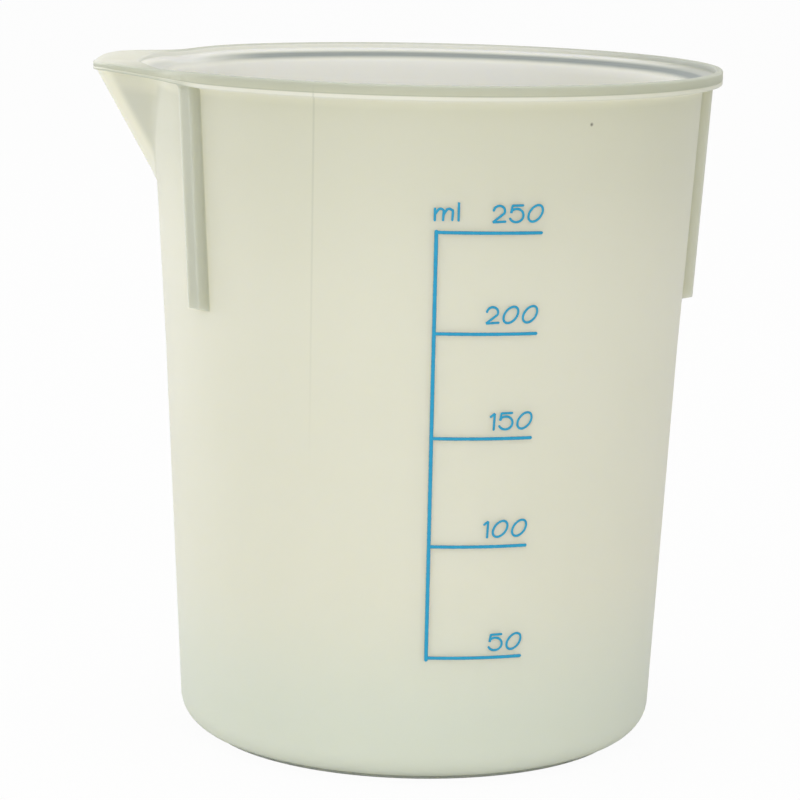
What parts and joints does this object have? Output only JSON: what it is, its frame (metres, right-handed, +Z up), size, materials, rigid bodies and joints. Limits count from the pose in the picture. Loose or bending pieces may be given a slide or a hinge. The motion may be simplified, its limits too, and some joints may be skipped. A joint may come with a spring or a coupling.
{
  "type": "beaker",
  "caption": "Moulded plastic laboratory beaker with a flanged rim, a pouring spout, stacking ribs under the rim and a printed volume scale.",
  "frame": {"origin": "centre of the underside, on the axis of the cup", "axes": "+Z up along the axis of the cup, -X towards the spout, -Y towards the printed scale"},
  "size_m": [0.0862, 0.081, 0.0933],
  "materials": {
    "natural_polypropylene": "translucent natural polypropylene, satin from the mould, slightly milky",
    "blue_ink": "screen printed blue ink, thin and matt"
  },
  "bodies": {
    "root": {"beaker_body": "natural_polypropylene", "scale_line": "blue_ink", "mark_50": "blue_ink", "mark_100": "blue_ink", "mark_150": "blue_ink", "mark_200": "blue_ink", "mark_250": "blue_ink"}
  },
  "joints": []
}
